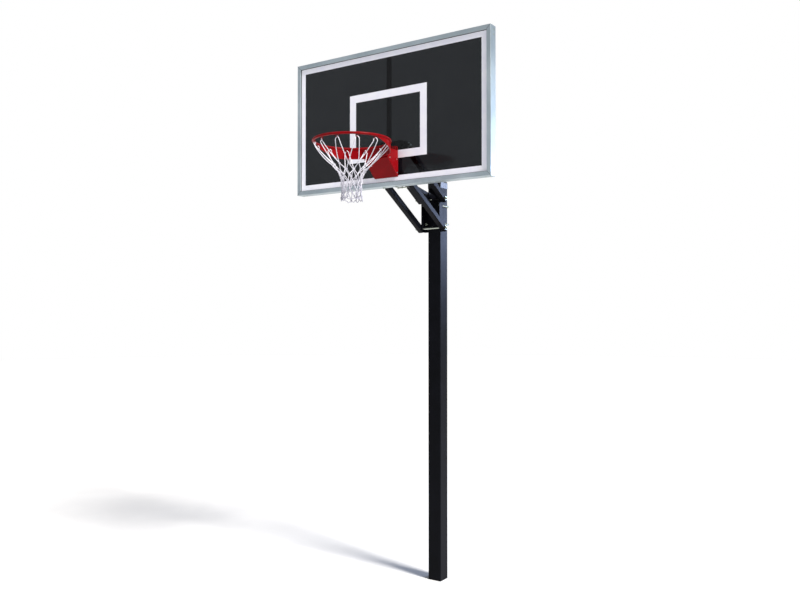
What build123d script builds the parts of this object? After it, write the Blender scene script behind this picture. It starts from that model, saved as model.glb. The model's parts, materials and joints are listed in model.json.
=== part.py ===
from build123d import *
import os
from math import atan2, cos, degrees, hypot, radians, sin, sqrt, tan

# In-ground basketball hoop on a square pole, with a parallelogram height adjuster.
# Millimetres. Origin: centre of the pole's foot at ground level. +Z up, the board faces -Y.

# ---- driving dimensions -------------------------------------------------------------------
POLE_SIDE = 101.6
POLE_WALL = 4.8
POLE_TOP = 2800.0
CAP_TOP = 2842.0

BOARD_W = 1524.0
BOARD_H = 914.4
BOARD_BOTTOM = 2720.0
BOARD_FRONT = -650.0          # front of the frame's lip
FRAME_DEPTH = 66.0
FRAME_WALL = 3.0
LIP_WIDTH = 28.0
LIP_RISE = 10.0               # the lip stands this far in front of the glass
GLASS_T = 10.0
REAR_LIP = 25.0

RING_INNER_D = 457.2
RING_ROD_D = 16.0
RING_Z = 2948.0
RING_REACH = 381.0            # ring centre to the front of the glass
BAND_T = 4.5
BAND_BOTTOM = 2882.0
HOOKS = 12

ARM_SIDE = 38.1
ARM_WALL = 3.0
ARM_LENGTH = 558.8            # pivot to pivot
ARM_ANGLE = 31.4              # rise towards the board
ARM_END = 19.0                # arm past its pivot
ARM_IN = 77.5                 # inner face, from the centre plane
REAR_PIVOT_Y = -83.5
REAR_PIVOT_LOW = 2495.0
PIVOT_SPACING = 206.0
ROD_D = 12.7

CHANNEL_HALF = 76.2
CHANNEL_DEPTH = 50.8
PLATE_T = 5.0
REAR_CHANNEL_Z = (2470.0, 2745.0)
U_BOLT_Z = (2530.0, 2657.0)

STRUT_OUTER = 30.0
STRUT_INNER = 22.0
STRUT_OFFSET = 13.0           # the strut runs this far above the line through its pivots
STRUT_MOUTH = 400.0           # outer tube's open end, from the rear pivot

RIM_HINGE = (-657.0, 2800.0)  # y, z of the breakaway hinge
RIM_HALF = 90.0
COVER_TOP = 2893.0
COVER_SLOPE = 1.05
GUIDE_X = 32.0
GUIDE_Z = 2888.0
RIM_BOLT_X = 63.5
RIM_BOLT_Z = (2858.4, 2960.0)
RIM_BOLT_R = 4.5

HOOK_LENGTH = 19.0            # from the ring's plane down to the hook's bar
NET_PROFILE = [(222.0, 2926.0), (186.0, 2862.0), (142.0, 2822.0), (88.0, 2776.0), (67.0, 2722.0),
               (67.0, 2562.0)]   # radius at the corners, z
NET_SKIN = 4.0

BRACKET_TOP = 3016.0
BRACKET_REAR = -575.0
CROSS_PLATE_Y = (-671.0, -666.0)

GAP = 0.3                     # running clearance between bodies
FIT = 0.1                     # bolt in its hole, all round
NUT_ACROSS = 19.0
NUT_T = 10.5
WASHER_T = 2.5
THROUGH = 1.0                 # cutters run this far past the faces they cut

# ---- derived places -----------------------------------------------------------------------
RISE = radians(ARM_ANGLE)
RUN_Y = ARM_LENGTH * cos(RISE)
RUN_Z = ARM_LENGTH * sin(RISE)
REAR_PIVOT_HIGH = REAR_PIVOT_LOW + PIVOT_SPACING
FRONT_PIVOT_Y = REAR_PIVOT_Y - RUN_Y
FRONT_PIVOT_LOW = REAR_PIVOT_LOW + RUN_Z
FRONT_PIVOT_HIGH = REAR_PIVOT_HIGH + RUN_Z
ARM_OUT = ARM_IN + ARM_SIDE
ROD_R = ROD_D / 2

BOARD_TOP = BOARD_BOTTOM + BOARD_H
BOARD_BACK = BOARD_FRONT + FRAME_DEPTH
GLASS_FRONT = BOARD_FRONT + LIP_RISE
GLASS_BACK = GLASS_FRONT + GLASS_T
RIB_Y = (GLASS_BACK + 4.0, GLASS_BACK + 7.0)
RING_Y = GLASS_FRONT - RING_REACH
RING_R = (RING_INNER_D + RING_ROD_D) / 2
WEB_FRONT = RIB_Y[1] + 1.0

STRUT_LENGTH = hypot(RUN_Y, RUN_Z - PIVOT_SPACING)
STRUT_ANGLE = degrees(atan2(RUN_Z - PIVOT_SPACING, RUN_Y))


# ---- small helpers ------------------------------------------------------------------------
def block(x, y, z):
    """A box between three pairs of limits."""
    centre = ((x[0] + x[1]) / 2, (y[0] + y[1]) / 2, (z[0] + z[1]) / 2)
    return Pos(*centre) * Box(x[1] - x[0], y[1] - y[0], z[1] - z[0])


def rod_x(radius, x, y, z):
    return Pos((x[0] + x[1]) / 2, y, z) * Rot(0, 90, 0) * Cylinder(radius, x[1] - x[0])


def rod_y(radius, x, y, z):
    return Pos(x, (y[0] + y[1]) / 2, z) * Rot(90, 0, 0) * Cylinder(radius, y[1] - y[0])


def rod_z(radius, x, y, z):
    return Pos(x, y, (z[0] + z[1]) / 2) * Cylinder(radius, z[1] - z[0])


def hexagon(across, height):
    """A hexagonal prism standing on the XY plane, with chamfered rims like a nut's."""
    prism = extrude(RegularPolygon(radius=across / sqrt(3), side_count=6), amount=height)
    cone = Pos(0, 0, height / 2) * Cylinder(across * 0.56, height)
    return prism & chamfer(cone.edges(), across * 0.05)


def nut_x(across, hole, x, y, z):
    body = hexagon(across, x[1] - x[0]) - Cylinder(hole, 4 * (x[1] - x[0]))
    return Pos(x[0], y, z) * Rot(0, 90, 0) * body


def nut_y(across, hole, x, y, z):
    body = hexagon(across, y[1] - y[0])
    if hole:
        body -= Cylinder(hole, 4 * (y[1] - y[0]))
    return Pos(x, y[1], z) * Rot(90, 0, 0) * body


def ring_x(outer, inner, x, y, z):
    return rod_x(outer, x, y, z) - rod_x(inner, (x[0] - THROUGH, x[1] + THROUGH), y, z)


def ring_y(outer, inner, x, y, z):
    return rod_y(outer, x, y, z) - rod_y(inner, x, (y[0] - THROUGH, y[1] + THROUGH), z)


def side_profile(points, x):
    """A plate across X with an outline given as (y, z) points."""
    outline = Plane.YZ * make_face(Polyline(*points, close=True))
    return Pos(x[0], 0, 0) * extrude(outline, amount=x[1] - x[0], dir=(1, 0, 0))


def both_sides(shape):
    """The shape and its mirror image across the centre plane."""
    return [shape, mirror(shape, about=Plane.YZ)]


def group(*shapes):
    """Separate solids kept in one node."""
    solids = []
    for shape in shapes:
        for item in shape if isinstance(shape, list) else [shape]:
            solids.extend(item.solids())
    return solids[0] if len(solids) == 1 else Compound(children=solids)


def save(name, *shapes):
    export_step(group(*shapes), f"parts/{name}.step")


# ---- pole and its fittings ----------------------------------------------------------------
def make_pole():
    half = POLE_SIDE / 2
    outer = block((-half, half), (-half, half), (0, POLE_TOP))
    outer = fillet(outer.edges().filter_by(Axis.Z), 6.0)
    inner_half = half - POLE_WALL
    inner = block((-inner_half, inner_half), (-inner_half, inner_half), (-1, POLE_TOP + 1))
    inner = fillet(inner.edges().filter_by(Axis.Z), 2.5)
    return outer - inner


def make_foot_plug():
    half = POLE_SIDE / 2 - POLE_WALL
    plug = block((-half, half), (-half, half), (0, 8.0))
    return fillet(plug.edges().filter_by(Axis.Z), 2.5)


def make_pole_cap():
    half = POLE_SIDE / 2 + 2.4
    crown = block((-half, half), (-half, half), (POLE_TOP - 14.0, CAP_TOP))
    crown = fillet(crown.edges().filter_by(Axis.Z), 8.0)
    crown = fillet(crown.edges().group_by(Axis.Z)[-1], 16.0)
    recess = block((-half + 2.4, half - 2.4), (-half + 2.4, half - 2.4), (POLE_TOP - 20.0, POLE_TOP))
    recess = fillet(recess.edges().filter_by(Axis.Z), 6.0)
    tongue_half = POLE_SIDE / 2 - POLE_WALL - 0.4
    tongue = block((-tongue_half, tongue_half), (-tongue_half, tongue_half), (POLE_TOP - 30.0, POLE_TOP))
    tongue = fillet(tongue.edges().filter_by(Axis.Z), 4.0)
    return crown - recess + tongue


def make_pole_bracket():
    """A bent channel on the front of the pole, open to the front."""
    back = -POLE_SIDE / 2
    front = back - CHANNEL_DEPTH
    low, high = REAR_CHANNEL_Z
    outer = block((-CHANNEL_HALF, CHANNEL_HALF), (front, back), REAR_CHANNEL_Z)
    outer = fillet(outer.edges().filter_by(Axis.Z).group_by(Axis.Y)[-1], 8.0)
    outer = fillet(outer.edges().filter_by(Axis.X).group_by(Axis.Y)[0], 14.0)
    inside = CHANNEL_HALF - PLATE_T
    hollow = block((-inside, inside), (front - 1, back - PLATE_T), (low - 1, high + 1))
    hollow = fillet(hollow.edges().filter_by(Axis.Z).group_by(Axis.Y)[-1], 3.0)
    channel = outer - hollow
    for z in (REAR_PIVOT_LOW, REAR_PIVOT_HIGH):
        channel -= rod_x(ROD_R + FIT, (-100, 100), REAR_PIVOT_Y, z)
    for z in U_BOLT_Z:
        for x in (-u_leg_x(), u_leg_x()):
            channel -= rod_y(ROD_R + 0.4, x, (front, back + 1), z)
    return channel


def u_leg_x():
    return POLE_SIDE / 2 + ROD_R + 0.4


def make_u_bolts():
    """Square U-bolts that wrap the pole, with their threaded ends inside the channel."""
    leg = u_leg_x()
    tip = -POLE_SIDE / 2 - PLATE_T - 19.0
    bolts = []
    for z in U_BOLT_Z:
        path = FilletPolyline((-leg, tip, z), (-leg, leg, z), (leg, leg, z), (leg, tip, z), radius=11.0)
        section = Plane(origin=path @ 0, z_dir=path % 0) * Circle(ROD_R)
        bolts.append(sweep(section, path=path))
    return bolts


def make_u_bolt_washers():
    face = -POLE_SIDE / 2 - PLATE_T
    return [ring_y(10.5, ROD_R + FIT, x, (face - WASHER_T, face), z)
            for z in U_BOLT_Z for x in (-u_leg_x(), u_leg_x())]


def make_u_bolt_nuts():
    face = -POLE_SIDE / 2 - PLATE_T - WASHER_T
    return [nut_y(NUT_ACROSS, ROD_R + FIT, x, (face - NUT_T, face), z)
            for z in U_BOLT_Z for x in (-u_leg_x(), u_leg_x())]


# ---- pivot rods, shared by both ends of the arms ------------------------------------------
def make_rods(y, heights):
    end = ARM_OUT + GAP + 17.5
    return [rod_x(ROD_R, (-end, end), y, z) for z in heights]


def make_thin_washers(y, heights):
    """Washers on the channel's flanges, just clear of the arms."""
    washers = []
    for z in heights:
        washer = ring_x(15.0, ROD_R + FIT, (CHANNEL_HALF, ARM_IN - GAP), y, z)
        washers += both_sides(washer)
    return washers


def make_rod_nuts(y, heights):
    nuts = []
    for z in heights:
        start = ARM_OUT + GAP
        washer = ring_x(14.0, ROD_R + FIT, (start, start + WASHER_T), y, z)
        start += WASHER_T
        nut = nut_x(NUT_ACROSS, ROD_R + FIT, (start, start + NUT_T), y, z)
        nuts += both_sides(washer) + both_sides(nut)
    return nuts


# ---- arms ---------------------------------------------------------------------------------
def place_arm(shape, pivot_z):
    """Turn a piece drawn along -Y from the rear pivot up to the arm's slope."""
    return Pos(0, REAR_PIVOT_Y, pivot_z) * Rot(-ARM_ANGLE, 0, 0) * shape


def make_arm(pivot_z):
    half = ARM_SIDE / 2
    reach = (-ARM_LENGTH - ARM_END, ARM_END)
    tube = block((ARM_IN, ARM_OUT), reach, (-half, half))
    tube = fillet(tube.edges().filter_by(Axis.Y), 4.5)
    hollow = block((ARM_IN + ARM_WALL, ARM_OUT - ARM_WALL), (reach[0] - THROUGH, reach[1] + THROUGH),
                   (-half + ARM_WALL, half - ARM_WALL))
    hollow = fillet(hollow.edges().filter_by(Axis.Y), 1.5)
    tube -= hollow
    for y in (0, -ARM_LENGTH):
        tube -= rod_x(9.5, (ARM_IN - 1, ARM_OUT + 1), y, 0)
    return place_arm(tube, pivot_z)


def make_arm_bushes(pivot_z):
    """Steel sleeves welded across each arm, one for each rod."""
    bushes = []
    for y in (0, -ARM_LENGTH):
        bush = ring_x(9.5, ROD_R + GAP, (ARM_IN, ARM_OUT), y, 0)
        bushes += both_sides(place_arm(bush, pivot_z))
    return bushes


def make_arm_plugs(pivot_z):
    half = ARM_SIDE / 2
    inset = ARM_WALL + 0.1
    plugs = []
    for end, way in ((ARM_END, 1), (-ARM_LENGTH - ARM_END, -1)):
        ys = sorted((end - 7.0 * way, end))
        stem = block((ARM_IN + inset, ARM_OUT - inset), ys, (-half + inset, half - inset))
        stem = fillet(stem.edges().filter_by(Axis.Y), 1.5)
        ys = sorted((end, end + 1.6 * way))
        head = block((ARM_IN + 0.4, ARM_OUT - 0.4), ys, (-half + 0.4, half - 0.4))
        head = fillet(head.edges().filter_by(Axis.Y), 4.0)
        plugs += both_sides(place_arm(stem + head, pivot_z))
    return plugs


# ---- telescopic strut across the parallelogram --------------------------------------------
def place_strut(shape):
    """Turn a piece drawn along -Y from the upper rear pivot to the strut's slope."""
    return Pos(0, REAR_PIVOT_Y, REAR_PIVOT_HIGH) * Rot(-STRUT_ANGLE, 0, 0) * shape


def square_tube(side, wall, y, z):
    half = side / 2
    tube = block((-half, half), y, (z - half, z + half))
    tube = fillet(tube.edges().filter_by(Axis.Y), wall)
    inner = half - wall
    return tube - block((-inner, inner), (y[0] - THROUGH, y[1] + THROUGH), (z - inner, z + inner))


def make_strut_outer():
    tube = square_tube(STRUT_OUTER, 3.0, (-STRUT_MOUTH, -14.0), STRUT_OFFSET)
    lug = side_profile([(16, -10), (16, 22), (6, STRUT_OFFSET + 15), (-70, STRUT_OFFSET + 15),
                        (-70, -2), (-24, -2), (-12, -16), (8, -16)], (15.0, 20.0))
    lug -= rod_x(ROD_R + GAP, (10, 25), 0, 0)
    low_lug, high_lug = both_sides(lug)
    return place_strut(tube + low_lug + high_lug)


def make_strut_spacers():
    """Sleeves on the rear rod that keep the strut in the middle of the channel."""
    inside = CHANNEL_HALF - PLATE_T
    return both_sides(ring_x(10.5, ROD_R + FIT, (20.0 + GAP, inside), REAR_PIVOT_Y, REAR_PIVOT_HIGH))


def make_strut_inner():
    """Sliding tube with a slotted end plate pair around the lower front rod."""
    front = -STRUT_LENGTH
    tube = square_tube(STRUT_INNER, 2.5, (front + 24.0, -150.0), STRUT_OFFSET)
    plate = side_profile([(front + 75, STRUT_OFFSET - 11), (front + 30, -34), (front - 16, -34),
                          (front - 21, -28), (front - 21, 28), (front - 16, 34), (front + 30, 34),
                          (front + 75, STRUT_OFFSET + 11)], (11.0, 16.0))
    slot = block((10, 17), (front - 11.5, front + 11.5), (-15, 15))
    slot += rod_x(11.5, (10, 17), front, -15) + rod_x(11.5, (10, 17), front, 15)
    plate -= slot
    low_plate, high_plate = both_sides(plate)
    return place_strut(tube + low_plate + high_plate)


def make_strut_lock():
    """Clamp screw with a cross handle under the outer tube's mouth."""
    y = -STRUT_MOUTH + 22.0
    top = STRUT_OFFSET - STRUT_OUTER / 2
    boss = rod_z(10.0, 0, y, (top - 12.0, top))
    screw = rod_z(5.0, 0, y, (top - 34.0, top - 12.0))
    handle = rod_x(4.0, (-32.0, 32.0), y, top - 30.0)
    knobs = both_sides(Pos(32.0, y, top - 30.0) * Sphere(6.5))
    return place_strut(boss + screw + handle + knobs[0] + knobs[1])


# ---- board frame and glass ----------------------------------------------------------------
def frame_section():
    """Extrusion section, drawn as (depth, inward) points: outer wall, lip, glass rib, rear lip."""
    depth = FRAME_DEPTH
    wall = FRAME_WALL
    rib = RIB_Y[0] - BOARD_FRONT
    points = [(0, 0), (depth, 0), (depth, REAR_LIP), (depth - wall, REAR_LIP), (depth - wall, wall),
              (rib + wall, wall), (rib + wall, 18), (rib, 18), (rib, wall), (wall, wall),
              (wall, LIP_WIDTH - wall), (LIP_RISE - GAP, LIP_WIDTH - wall), (LIP_RISE - GAP, LIP_WIDTH),
              (0, LIP_WIDTH)]
    return points


def frame_member(length):
    """A member along X whose outer wall is down, mitred at both ends."""
    outline = Plane.YZ * make_face(Polyline(*frame_section(), close=True))
    bar = Pos(-length / 2, 0, 0) * extrude(outline, amount=length, dir=(1, 0, 0))
    lip_edges = [e for e in bar.edges().filter_by(Axis.X)
                 if abs(e.center().Y) < 0.01]
    bar = fillet(lip_edges, 1.5)
    for side in (-1, 1):
        end = length / 2 * side
        out = side * 50
        cut = Polyline((end, 0), (end + out, 0), (end + out, 50), (end - out, 50), close=True)
        wedge = extrude(Plane.XZ * make_face(cut), amount=400, both=True)
        bar -= wedge
    return bar


def make_frame_bottom():
    return Pos(0, BOARD_FRONT, BOARD_BOTTOM) * frame_member(BOARD_W)


def make_frame_top():
    return Pos(0, BOARD_FRONT, BOARD_TOP) * mirror(frame_member(BOARD_W), about=Plane.XY)


def make_frame_side(way):
    """The left (-1) or right (+1) member, its outer wall on the outside."""
    member = frame_member(BOARD_H)
    turned = Rot(0, -90 * way, 0) * member
    return Pos(way * BOARD_W / 2, BOARD_FRONT, BOARD_BOTTOM + BOARD_H / 2) * turned


def make_corner_keys():
    """L-shaped keys inside the frame's corners, behind the glass rib."""
    keys = []
    inset = FRAME_WALL + 0.1
    y = (RIB_Y[1] + 4.0, BOARD_BACK - FRAME_WALL - 2.0)
    for way_x in (-1, 1):
        for base, way_z in ((BOARD_BOTTOM, 1), (BOARD_TOP, -1)):
            x0 = way_x * (BOARD_W / 2 - inset)
            z0 = base + way_z * inset
            long_leg = block(sorted((x0, x0 - way_x * 70)), y, sorted((z0, z0 + way_z * 6)))
            tall_leg = block(sorted((x0, x0 - way_x * 6)), y, sorted((z0, z0 + way_z * 70)))
            keys.append(long_leg + tall_leg)
    return keys


def make_corner_screws():
    screws = []
    y = BOARD_BACK - 22.0
    for way_x in (-1, 1):
        for base, way_z in ((BOARD_BOTTOM, 1), (BOARD_TOP, -1)):
            for step in (25.0, 55.0):
                x = way_x * BOARD_W / 2
                z = base + way_z * step
                screws.append(rod_x(5.0, sorted((x, x + way_x * 2.2)), y, z))
                x = way_x * (BOARD_W / 2 - step)
                screws.append(rod_z(5.0, x, y, sorted((base, base - way_z * 2.2))))
    return screws


def glass_rect():
    inset = FRAME_WALL + 2.0
    return ((-BOARD_W / 2 + inset, BOARD_W / 2 - inset), (BOARD_BOTTOM + inset, BOARD_TOP - inset))


def make_glass():
    x, z = glass_rect()
    pane = block(x, (GLASS_FRONT, GLASS_BACK), z)
    for bolt_z in RIM_BOLT_Z:
        for bolt_x in (-RIM_BOLT_X, RIM_BOLT_X):
            pane -= rod_y(8.0, bolt_x, (GLASS_FRONT - THROUGH, GLASS_BACK + THROUGH), bolt_z)
    return pane


def strips(y, width, inset):
    """Four straight strips round the edge of the glass."""
    x0 = BOARD_W / 2 - inset
    z0, z1 = BOARD_BOTTOM + inset, BOARD_TOP - inset
    return [block((-x0, x0), y, (z0, z0 + width)),
            block((-x0, x0), y, (z1 - width, z1)),
            block((-x0, -x0 + width), y, (z0 + width, z1 - width)),
            block((x0 - width, x0), y, (z0 + width, z1 - width))]


def make_glazing_front():
    return strips((BOARD_FRONT + FRAME_WALL, GLASS_FRONT), LIP_WIDTH - 2 * FRAME_WALL - 4.0, FRAME_WALL + 1.0)


def make_glazing_rear():
    return strips((GLASS_BACK, RIB_Y[0]), 14.0, FRAME_WALL + 1.0)


def make_setting_blocks():
    """Plastic blocks that carry the weight of the glass in the bottom member."""
    return [block((x - 40, x + 40), (GLASS_FRONT + 0.5, GLASS_BACK - 0.5),
                  (BOARD_BOTTOM + FRAME_WALL, BOARD_BOTTOM + FRAME_WALL + 2.0)) for x in (-420, 420)]


# ---- steelwork behind the glass -----------------------------------------------------------
def make_board_bracket():
    """Channel behind the glass, open to the rear, with ears for the front pivot rods."""
    floor = BOARD_BOTTOM + FRAME_WALL
    web = block((-CHANNEL_HALF, CHANNEL_HALF), (WEB_FRONT, WEB_FRONT + PLATE_T), (floor, BRACKET_TOP))
    foot = block((-CHANNEL_HALF, CHANNEL_HALF), (WEB_FRONT, BOARD_BACK - 8.0), (floor, floor + PLATE_T))
    sides = (CHANNEL_HALF - PLATE_T, CHANNEL_HALF)
    flange = block(sides, (WEB_FRONT, BRACKET_REAR), (floor, BRACKET_TOP))
    flange -= block((0, 100), (BOARD_BACK - 8.0, BRACKET_REAR + 1), (floor - 1, BOARD_BOTTOM + REAR_LIP + 6))
    for z in (FRONT_PIVOT_LOW, FRONT_PIVOT_HIGH):
        flange += block(sides, (BRACKET_REAR - 10, FRONT_PIVOT_Y), (z - 19, z + 19))
        flange += rod_x(19.0, sides, FRONT_PIVOT_Y, z)
        flange -= rod_x(ROD_R + FIT, (60, 90), FRONT_PIVOT_Y, z)
    low, high = both_sides(flange)
    bracket = web + foot + low + high
    for z in RIM_BOLT_Z:
        for x in (-RIM_BOLT_X, RIM_BOLT_X):
            bracket -= rod_y(RIM_BOLT_R + 0.6, x, (WEB_FRONT - THROUGH, WEB_FRONT + PLATE_T + THROUGH), z)
    return bracket


def make_mount_pad():
    """Rubber pad between the glass and the bracket's web."""
    pad = block((-70, 70), (GLASS_BACK, WEB_FRONT), (2800, 3000))
    for z in RIM_BOLT_Z:
        for x in (-RIM_BOLT_X, RIM_BOLT_X):
            pad -= rod_y(RIM_BOLT_R + 0.6, x, (GLASS_BACK - THROUGH, WEB_FRONT + THROUGH), z)
    return pad


def make_bracket_bolts():
    """Bolts up through the bottom member into the bracket's foot."""
    bolts = []
    y = (WEB_FRONT + BOARD_BACK) / 2
    floor = BOARD_BOTTOM + FRAME_WALL + PLATE_T
    for x in (-50.0, 50.0):
        bolts.append(Pos(x, y, BOARD_BOTTOM - 6.0) * hexagon(16.0, 6.0))
        bolts.append(Pos(x, y, floor) * hexagon(16.0, 8.0))
    return bolts


def make_centre_strut():
    """Upright tube from the bracket to the top member."""
    y = (RIB_Y[1] + 0.2, RIB_Y[1] + 16.2)
    z = (BRACKET_TOP, BOARD_TOP - FRAME_WALL)
    tube = block((-16, 16), y, z)
    tube = fillet(tube.edges().filter_by(Axis.Z), 2.5)
    return tube - block((-13.5, 13.5), (y[0] + 2.5, y[1] - 2.5), (z[0] - THROUGH, z[1] + THROUGH))


def make_centre_strut_angle():
    """Angle that bolts the upright to the rear lip of the top member."""
    y0 = RIB_Y[1] + 16.2
    top = BOARD_TOP - FRAME_WALL
    leg = block((-30, 30), (y0, y0 + 4.0), (top - 50, top))
    shelf = block((-30, 30), (y0, BOARD_BACK - FRAME_WALL), (top - 4.0, top))
    return leg + shelf


def make_centre_strut_bolts():
    y = (RIB_Y[1] + 20.2 + BOARD_BACK - FRAME_WALL) / 2
    return [Pos(x, y, BOARD_TOP) * hexagon(13.0, 5.0) for x in (-20.0, 20.0)]


# ---- breakaway rim ------------------------------------------------------------------------
def make_rim_back_plate():
    """Fixed plate on the glass, with lugs for the hinge pin and studs for the springs."""
    y = (GLASS_FRONT - 6.0, GLASS_FRONT)
    plate = block((-83.5, 83.5), y, (2788.0, 2977.0))
    plate = fillet(plate.edges().filter_by(Axis.Y).group_by(Axis.Z)[-1], 14.0)
    hinge_y, hinge_z = RIM_HINGE
    lug = side_profile([(y[0], hinge_z - 9), (y[0], hinge_z + 26), (hinge_y - 2, hinge_z + 9),
                        (hinge_y - 8, hinge_z + 3), (hinge_y - 8, hinge_z - 4), (hinge_y - 2, hinge_z - 9)],
                       (52, 60))
    lug -= rod_x(5.1, (50, 62), hinge_y, hinge_z)
    low, high = both_sides(lug)
    plate = plate + low + high
    for z in RIM_BOLT_Z:
        for x in (-RIM_BOLT_X, RIM_BOLT_X):
            plate -= rod_y(RIM_BOLT_R + FIT, x, (y[0] - THROUGH, y[1] + THROUGH), z)
    return plate


def make_rim_bolts():
    """Bolts through plate, glass, pad and web, with their heads at the front."""
    bolts = []
    plate_front = GLASS_FRONT - 6.0
    for z in RIM_BOLT_Z:
        for x in (-RIM_BOLT_X, RIM_BOLT_X):
            head = nut_y(18.0, 0, x, (plate_front - 7.0, plate_front), z)
            shank = rod_y(RIM_BOLT_R, x, (plate_front, WEB_FRONT + PLATE_T + 16.0), z)
            bolts.append(head + shank)
    return bolts


def make_rim_nuts():
    back = WEB_FRONT + PLATE_T
    nuts = []
    for z in RIM_BOLT_Z:
        for x in (-RIM_BOLT_X, RIM_BOLT_X):
            nuts.append(nut_y(13.0, RIM_BOLT_R + FIT, x, (back + 1.6, back + 9.0), z))
            nuts.append(ring_y(7.4, RIM_BOLT_R + FIT, x, (back, back + 1.6), z))
    return nuts


def make_hinge_pin():
    y, z = RIM_HINGE
    return rod_x(5.0, (-RIM_HALF - 1.2, RIM_HALF + 1.2), y, z)


def make_guide_bolts():
    plate_front = GLASS_FRONT - 6.0
    return [rod_y(5.0, x, (-748.0, plate_front), GUIDE_Z) for x in (-GUIDE_X, GUIDE_X)]


def make_guide_nuts():
    nuts = []
    for x in (-GUIDE_X, GUIDE_X):
        nuts.append(ring_y(15.0, 5.1, x, (-734.5, -732.0), GUIDE_Z))
        nuts.append(nut_y(16.0, 5.1, x, (-743.5, -734.5), GUIDE_Z))
    return nuts


def make_springs():
    """Compression springs on the guide bolts, between the bracket's cross plate and the washers."""
    turns = 7
    length = 56.0
    springs = []
    for x in (-GUIDE_X, GUIDE_X):
        path = Helix(pitch=length / turns, height=length, radius=9.5)
        wire = sweep(Plane(origin=path @ 0, z_dir=path % 0) * Circle(1.7), path=path)
        springs.append(Pos(x, CROSS_PLATE_Y[0] - 2.5, GUIDE_Z) * Rot(90, 0, 0) * wire)
    return springs


def make_rim_bracket():
    """Moving steel box: side plates from the hinge to the band, a cross plate and a top plate."""
    rear = GLASS_FRONT - 7.5
    hinge_y, hinge_z = RIM_HINGE
    band_y = RING_Y + sqrt((RING_R - BAND_T / 2) ** 2 - RIM_HALF ** 2)
    side = side_profile([(rear, 2944), (band_y, 2944), (band_y, COVER_TOP + 2), (-764, COVER_TOP + 2),
                         (cover_front(2881) + 2.5, 2881), (cover_front(2786) + 1.5, 2786), (rear, 2786)],
                        (RIM_HALF - 6.0, RIM_HALF))
    side -= rod_x(5.0 + GAP, (80, 95), hinge_y, hinge_z)
    inside = RIM_HALF - 6.0
    cross = block((-inside, inside), CROSS_PLATE_Y, (2868, 2944))
    for x in (-GUIDE_X, GUIDE_X):
        slot = block((x - 6.5, x + 6.5), (-680, -660), (GUIDE_Z - 1, GUIDE_Z + 18))
        slot += rod_y(6.5, x, (-680, -660), GUIDE_Z - 1) + rod_y(6.5, x, (-680, -660), GUIDE_Z + 18)
        cross -= slot
    top = block((-inside, inside), (RING_Y, rear - 5.0), (2939.5, 2943.5))
    top -= rod_z(RING_R - BAND_T / 2, 0, RING_Y, (2930, 2950))
    top -= block((-76, 76), (CROSS_PLATE_Y[1], -640), (2930, 2950))
    low, high = both_sides(side)
    clear_ring = Pos(0, RING_Y, RING_Z) * Torus(RING_R, RING_ROD_D / 2 + 0.05)
    clear_band = rod_z(RING_R + BAND_T / 2, 0, RING_Y, (2800, 2960))
    return low + high + cross + (top - clear_band) - clear_ring - clear_band


def cover_front(z):
    """Depth of the inside of the cover's sloping sheet at a height."""
    return -649.0 - COVER_SLOPE * (z - 2774.0)


def make_rim_cover():
    """Wedge of folded sheet under the bracket: sloping front and two triangular cheeks."""
    sheet = 1.6
    slant = sheet * hypot(1, COVER_SLOPE)
    outline = [(cover_front(2774) - slant, 2774), (cover_front(2882) - slant, 2882),
               (cover_front(2882) - slant, COVER_TOP), (-649, COVER_TOP), (-649, 2774)]
    outer = side_profile(outline, (-RIM_HALF - GAP - sheet, RIM_HALF + GAP + sheet))
    hollow = [(-640, 2770), (cover_front(2770), 2770), (cover_front(2882.5), 2882.5),
              (cover_front(2882.5), COVER_TOP + 2), (-640, COVER_TOP + 2)]
    inner = side_profile(hollow, (-RIM_HALF - GAP, RIM_HALF + GAP))
    cover = outer - inner
    hinge_y, hinge_z = RIM_HINGE
    return cover - rod_x(7.5, (-100, 100), hinge_y, hinge_z)


def make_cover_screws():
    outer = RIM_HALF + GAP + 1.6
    screws = []
    for y, z in ((-745.0, 2884.5), (-665.0, 2884.5)):
        screws += both_sides(rod_x(4.5, (outer, outer + 2.4), y, z))
    return screws


def make_ring():
    return Pos(0, RING_Y, RING_Z) * Torus(RING_R, RING_ROD_D / 2)


def make_ring_band():
    """Flat strap under the rear half of the ring, its lower edge rising to the ring at each end."""
    outer = RING_R + BAND_T / 2
    band = rod_z(outer, 0, RING_Y, (BAND_BOTTOM, RING_Z - 3.0))
    band -= rod_z(outer - BAND_T, 0, RING_Y, (BAND_BOTTOM - 1, RING_Z))
    full_y = RING_Y + RING_R * sin(radians(32))
    tip_y = RING_Y - RING_R * sin(radians(14))
    wedge = side_profile([(RING_Y - 400, 2800), (full_y, 2800), (full_y, BAND_BOTTOM), (tip_y, RING_Z - 10),
                          (tip_y, RING_Z + 10), (RING_Y - 400, RING_Z + 10)], (-400, 400))
    return band - wedge - Pos(0, RING_Y, RING_Z) * Torus(RING_R, RING_ROD_D / 2 + 0.05)


def make_net_hooks():
    """Wire eyes welded under the ring, where the net's loops hang."""
    hooks = []
    for i in range(HOOKS):
        angle = 15.0 + i * 360.0 / HOOKS
        path = FilletPolyline((-8, 0, 0), (-8, 0, -HOOK_LENGTH), (8, 0, -HOOK_LENGTH), (8, 0, 0), radius=5.5)
        hook = sweep(Plane(origin=path @ 0, z_dir=path % 0) * Circle(2.2), path=path)
        hook = Pos(RING_R - 9.5, 0, RING_Z) * Rot(0, 0, 90) * hook
        hooks.append(Pos(0, RING_Y, 0) * Rot(0, 0, angle) * hook - make_ring())
    return hooks


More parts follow.
